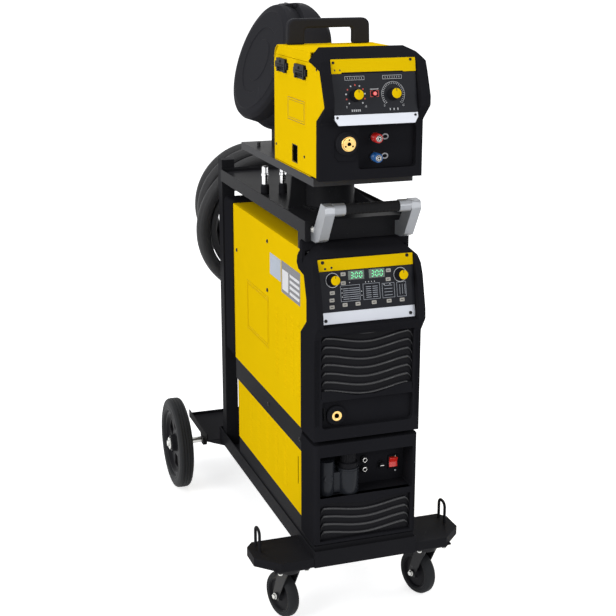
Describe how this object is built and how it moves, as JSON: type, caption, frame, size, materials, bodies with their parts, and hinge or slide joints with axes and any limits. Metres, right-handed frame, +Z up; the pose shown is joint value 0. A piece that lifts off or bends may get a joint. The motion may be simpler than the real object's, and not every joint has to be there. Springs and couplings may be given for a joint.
{
  "type": "mig welder on cart",
  "caption": "Upright welding set on a wheeled cart: inverter box over a water cooler, swivelling wire feeder with door, round spool case, push handle and a hung hose coil.",
  "frame": {"origin": "middle of the footprint on the floor", "axes": "+Z up, +X to the right of someone facing the front, front towards -Y"},
  "size_m": [0.6439, 1.2525, 1.6021],
  "materials": {
    "base_tray": "black powder coat",
    "caster_wings": "black powder coat",
    "caster_plates": "dark coated steel",
    "rear_platform": "black powder coat",
    "rear_axle": "dark coated steel",
    "rear_columns": "black powder coat",
    "top_deck": "black powder coat",
    "handle_castings": "silver painted casting",
    "handle_grip": "black moulded grip",
    "swivel_base": "black powder coat",
    "power_cover": "yellow powder coat, fine texture",
    "base_pans": "black powder coat",
    "power_fascia": "black moulded plastic",
    "rear_panels": "black powder coat",
    "power_strips": "printed face plates",
    "louvre_grilles": "black moulded plastic",
    "power_panel": "smooth membrane",
    "weld_socket": "machined brass in a black collar",
    "power_module": "extruded aluminium",
    "cooler_cover": "yellow powder coat, fine texture",
    "cooler_fascia": "black moulded plastic",
    "cooler_tank": "black moulded plastic",
    "cooler_fittings": "plated steel",
    "cooler_radiator": "extruded aluminium",
    "cooler_pump": "grey enamel",
    "hose_coil": "black woven sleeve",
    "hose_plugs": "black moulded plastic",
    "case_screws": "black screw heads",
    "feeder_tray": "black powder coat",
    "feeder_case": "yellow powder coat, fine texture",
    "feeder_fascia": "black moulded plastic",
    "feeder_strips": "printed face plates",
    "euro_socket": "machined brass in a black collar",
    "coupler_nipples": "bright plated",
    "feeder_handle": "black moulded plastic",
    "spool_case": "black moulded plastic",
    "wire_drive": "grey enamel",
    "feeder_door": "yellow powder coat, fine texture",
    "spool_lid": "black moulded plastic",
    "wire_spool": "black moulded plastic",
    "wire_coil": "copper coated wire",
    "cooling_fan": "black moulded plastic",
    "filler_cap": "black moulded plastic",
    "rocker_switch": "red translucent plastic",
    "power_knob_left": "black moulded plastic",
    "power_knob_right": "black moulded plastic",
    "caster_fork_left": "dark coated steel",
    "caster_fork_right": "dark coated steel",
    "caster_wheel_left": "dark grey rubber on a moulded hub",
    "caster_wheel_right": "dark grey rubber on a moulded hub",
    "rear_wheel_left": "dark grey rubber on a moulded hub",
    "rear_wheel_right": "dark grey rubber on a moulded hub",
    "door_latch_front": "black moulded plastic",
    "door_latch_rear": "black moulded plastic",
    "feeder_knob_left": "black moulded plastic",
    "feeder_knob_right": "black moulded plastic",
    "feeder_button": "red translucent plastic",
    "coupler_red": "red sleeve",
    "coupler_blue": "blue sleeve",
    "pressure_arm": "grey enamel"
  },
  "bodies": {
    "cart": {"base_tray": "base_tray", "caster_wings": "caster_wings", "caster_plates": "caster_plates", "rear_platform": "rear_platform", "rear_axle": "rear_axle", "rear_columns": "rear_columns", "top_deck": "top_deck", "handle_castings": "handle_castings", "handle_grip": "handle_grip", "swivel_base": "swivel_base", "power_cover": "power_cover", "base_pans": "base_pans", "power_fascia": "power_fascia", "rear_panels": "rear_panels", "power_strips": "power_strips", "louvre_grilles": "louvre_grilles", "power_panel": "power_panel", "weld_socket": "weld_socket", "power_module": "power_module", "cooler_cover": "cooler_cover", "cooler_fascia": "cooler_fascia", "cooler_tank": "cooler_tank", "cooler_fittings": "cooler_fittings", "cooler_radiator": "cooler_radiator", "cooler_pump": "cooler_pump", "hose_coil": "hose_coil", "hose_plugs": "hose_plugs", "case_screws": "case_screws"},
    "feeder": {"feeder_tray": "feeder_tray", "feeder_case": "feeder_case", "feeder_fascia": "feeder_fascia", "feeder_strips": "feeder_strips", "euro_socket": "euro_socket", "coupler_nipples": "coupler_nipples", "feeder_handle": "feeder_handle", "spool_case": "spool_case", "wire_drive": "wire_drive"},
    "door": {"feeder_door": "feeder_door"},
    "lid": {"spool_lid": "spool_lid"},
    "spool": {"wire_spool": "wire_spool", "wire_coil": "wire_coil"},
    "cooling_fan": {"cooling_fan": "cooling_fan"},
    "filler_cap": {"filler_cap": "filler_cap"},
    "rocker_switch": {"rocker_switch": "rocker_switch"},
    "power_knob_left": {"power_knob_left": "power_knob_left"},
    "power_knob_right": {"power_knob_right": "power_knob_right"},
    "caster_fork_left": {"caster_fork_left": "caster_fork_left"},
    "caster_fork_right": {"caster_fork_right": "caster_fork_right"},
    "caster_wheel_left": {"caster_wheel_left": "caster_wheel_left"},
    "caster_wheel_right": {"caster_wheel_right": "caster_wheel_right"},
    "rear_wheel_left": {"rear_wheel_left": "rear_wheel_left"},
    "rear_wheel_right": {"rear_wheel_right": "rear_wheel_right"},
    "door_latch_front": {"door_latch_front": "door_latch_front"},
    "door_latch_rear": {"door_latch_rear": "door_latch_rear"},
    "feeder_knob_left": {"feeder_knob_left": "feeder_knob_left"},
    "feeder_knob_right": {"feeder_knob_right": "feeder_knob_right"},
    "feeder_button": {"feeder_button": "feeder_button"},
    "coupler_red": {"coupler_red": "coupler_red"},
    "coupler_blue": {"coupler_blue": "coupler_blue"},
    "pressure_arm": {"pressure_arm": "pressure_arm"}
  },
  "joints": [
    {"name": "caster_swivel_left", "type": "hinge", "parent": "cart", "child": "caster_fork_left", "pos_m": [-0.2, -0.53075, 0.15], "axis": [0, 0, 1], "continuous": true},
    {"name": "caster_roll_left", "type": "hinge", "parent": "caster_fork_left", "child": "caster_wheel_left", "pos_m": [-0.2091, -0.49903, 0.063], "axis": [0.9613, 0.2756, 0], "continuous": true},
    {"name": "rear_roll_left", "type": "hinge", "parent": "cart", "child": "rear_wheel_left", "pos_m": [-0.276, 0.44325, 0.15], "axis": [1, 0, 0], "continuous": true},
    {"name": "power_knob_turn_left", "type": "hinge", "parent": "cart", "child": "power_knob_left", "pos_m": [-0.092, -0.55827, 0.948], "axis": [0, -0.978, 0.2087], "continuous": true},
    {"name": "caster_swivel_right", "type": "hinge", "parent": "cart", "child": "caster_fork_right", "pos_m": [0.2, -0.53075, 0.15], "axis": [0, 0, 1], "continuous": true},
    {"name": "caster_roll_right", "type": "hinge", "parent": "caster_fork_right", "child": "caster_wheel_right", "pos_m": [0.1909, -0.49903, 0.063], "axis": [0.9613, 0.2756, 0], "continuous": true},
    {"name": "rear_roll_right", "type": "hinge", "parent": "cart", "child": "rear_wheel_right", "pos_m": [0.276, 0.44325, 0.15], "axis": [1, 0, 0], "continuous": true},
    {"name": "power_knob_turn_right", "type": "hinge", "parent": "cart", "child": "power_knob_right", "pos_m": [0.092, -0.55827, 0.948], "axis": [0, -0.978, 0.2087], "continuous": true},
    {"name": "feeder_knob_turn_left", "type": "hinge", "parent": "feeder", "child": "feeder_knob_left", "pos_m": [-0.051, -0.59902, 1.411], "axis": [0, -0.9763, 0.2163], "range_deg": [-150, 150]},
    {"name": "feeder_knob_turn_right", "type": "hinge", "parent": "feeder", "child": "feeder_knob_right", "pos_m": [0.046, -0.59902, 1.411], "axis": [0, -0.9763, 0.2163], "range_deg": [-150, 150]},
    {"name": "feeder_swivel", "type": "hinge", "parent": "cart", "child": "feeder", "pos_m": [0, -0.28075, 1.183], "axis": [0, 0, 1], "range_deg": [-90, 90]},
    {"name": "door_hinge", "type": "hinge", "parent": "feeder", "child": "door", "pos_m": [-0.1315, -0.38475, 1.206], "axis": [0, -1, 0], "range_deg": [0, 95]},
    {"name": "latch_front_flip", "type": "hinge", "parent": "door", "child": "door_latch_front", "pos_m": [-0.1313, -0.43175, 1.473], "axis": [0, 1, 0], "range_deg": [0, 40]},
    {"name": "latch_rear_flip", "type": "hinge", "parent": "door", "child": "door_latch_rear", "pos_m": [-0.1313, -0.28375, 1.476], "axis": [0, 1, 0], "range_deg": [0, 40]},
    {"name": "lid_hinge", "type": "hinge", "parent": "feeder", "child": "lid", "pos_m": [-0.01927, -0.01515, 1.59601], "axis": [-0.0958, 0.9954, 0], "range_deg": [0, 80]},
    {"name": "spool_spin", "type": "hinge", "parent": "feeder", "child": "spool", "pos_m": [-0.04201, -0.01734, 1.42276], "axis": [0.9389, 0.0904, -0.3322], "continuous": true},
    {"name": "pressure_arm_hinge", "type": "hinge", "parent": "feeder", "child": "pressure_arm", "pos_m": [0, -0.43675, 1.328], "axis": [1, 0, 0], "range_deg": [0, 55]},
    {"name": "button_press", "type": "slide", "parent": "feeder", "child": "feeder_button", "axis": [0, 0.9763, -0.2163], "range_m": [0, 0.002], "stiffness_N_per_m": 400},
    {"name": "coupler_red_pull", "type": "slide", "parent": "feeder", "child": "coupler_red", "axis": [0, 1, 0], "range_m": [0, 0.003], "stiffness_N_per_m": 800},
    {"name": "coupler_blue_pull", "type": "slide", "parent": "feeder", "child": "coupler_blue", "axis": [0, 1, 0], "range_m": [0, 0.003], "stiffness_N_per_m": 800},
    {"name": "filler_cap_turn", "type": "hinge", "parent": "cart", "child": "filler_cap", "pos_m": [-0.04, -0.54175, 0.46], "axis": [0, 0, 1], "range_deg": [0, 360]},
    {"name": "rocker_tip", "type": "hinge", "parent": "cart", "child": "rocker_switch", "pos_m": [0.102, -0.51175, 0.412], "axis": [1, 0, 0], "range_deg": [-18, 0]},
    {"name": "fan_spin", "type": "hinge", "parent": "cart", "child": "cooling_fan", "pos_m": [0, 0.16925, 0.785], "axis": [0, 1, 0], "continuous": true}
  ]
}
